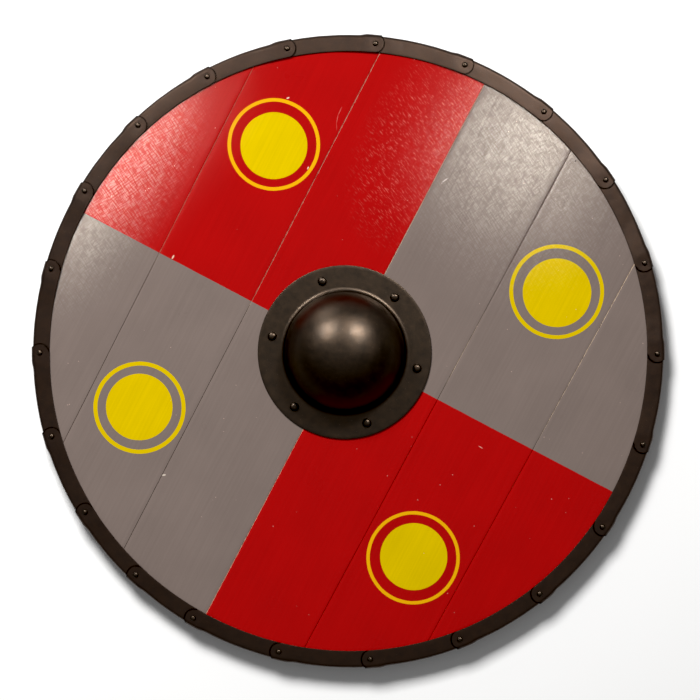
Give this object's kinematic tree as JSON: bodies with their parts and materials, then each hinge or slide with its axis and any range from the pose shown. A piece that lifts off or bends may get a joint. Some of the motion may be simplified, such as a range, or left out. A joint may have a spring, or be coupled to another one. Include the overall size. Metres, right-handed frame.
{
  "type": "viking shield",
  "caption": "Round wooden plank shield with quartered paint and ringed discs, a riveted domed boss, a lapped and riveted steel rim, and a batten grip across the back.",
  "frame": {"origin": "under the middle of the rim, level with the underside of the grip that the shield lies on", "axes": "+Z out of the painted front, upwards as the shield lies on its back; +X along the grip"},
  "size_m": [0.6351, 0.6344, 0.0826],
  "materials": {
    "red_painted_pine": "brushed satin paint, lightly scuffed",
    "grey_painted_pine": "brushed satin paint, lightly scuffed",
    "rim_steel": "blackened and oiled, hand folded",
    "rivet_steel": "blackened and oiled, hammered",
    "boss_steel": "blackened and oiled, lightly dished",
    "oiled_pine": "planed and oiled"
  },
  "bodies": {
    "root": {"plank_1": "red_painted_pine", "plank_2": "red_painted_pine", "plank_3": "red_painted_pine", "plank_4": "grey_painted_pine", "plank_5": "grey_painted_pine", "plank_6": "grey_painted_pine", "rim_segment_01": "rim_steel", "rim_segment_02": "rim_steel", "rim_segment_03": "rim_steel", "rim_segment_04": "rim_steel", "rim_segment_05": "rim_steel", "rim_segment_06": "rim_steel", "rim_segment_07": "rim_steel", "rim_segment_08": "rim_steel", "rim_segment_09": "rim_steel", "rim_segment_10": "rim_steel", "rim_segment_11": "rim_steel", "rim_segment_12": "rim_steel", "rim_segment_13": "rim_steel", "rim_segment_14": "rim_steel", "rim_segment_15": "rim_steel", "rim_segment_16": "rim_steel", "rim_segment_17": "rim_steel", "rim_segment_18": "rim_steel", "rim_segment_19": "rim_steel", "rim_segment_20": "rim_steel", "rim_segment_21": "rim_steel", "rim_segment_22": "rim_steel", "rim_rivet_01": "rivet_steel", "rim_rivet_02": "rivet_steel", "rim_rivet_03": "rivet_steel", "rim_rivet_04": "rivet_steel", "rim_rivet_05": "rivet_steel", "rim_rivet_06": "rivet_steel", "rim_rivet_07": "rivet_steel", "rim_rivet_08": "rivet_steel", "rim_rivet_09": "rivet_steel", "rim_rivet_10": "rivet_steel", "rim_rivet_11": "rivet_steel", "rim_rivet_12": "rivet_steel", "rim_rivet_13": "rivet_steel", "rim_rivet_14": "rivet_steel", "rim_rivet_15": "rivet_steel", "rim_rivet_16": "rivet_steel", "rim_rivet_17": "rivet_steel", "rim_rivet_18": "rivet_steel", "rim_rivet_19": "rivet_steel", "rim_rivet_20": "rivet_steel", "rim_rivet_21": "rivet_steel", "rim_rivet_22": "rivet_steel", "boss_rivet_1": "rivet_steel", "boss_rivet_2": "rivet_steel", "boss_rivet_3": "rivet_steel", "boss_rivet_4": "rivet_steel", "boss_rivet_5": "rivet_steel", "boss_rivet_6": "rivet_steel", "boss": "boss_steel", "grip": "oiled_pine"}
  },
  "joints": []
}
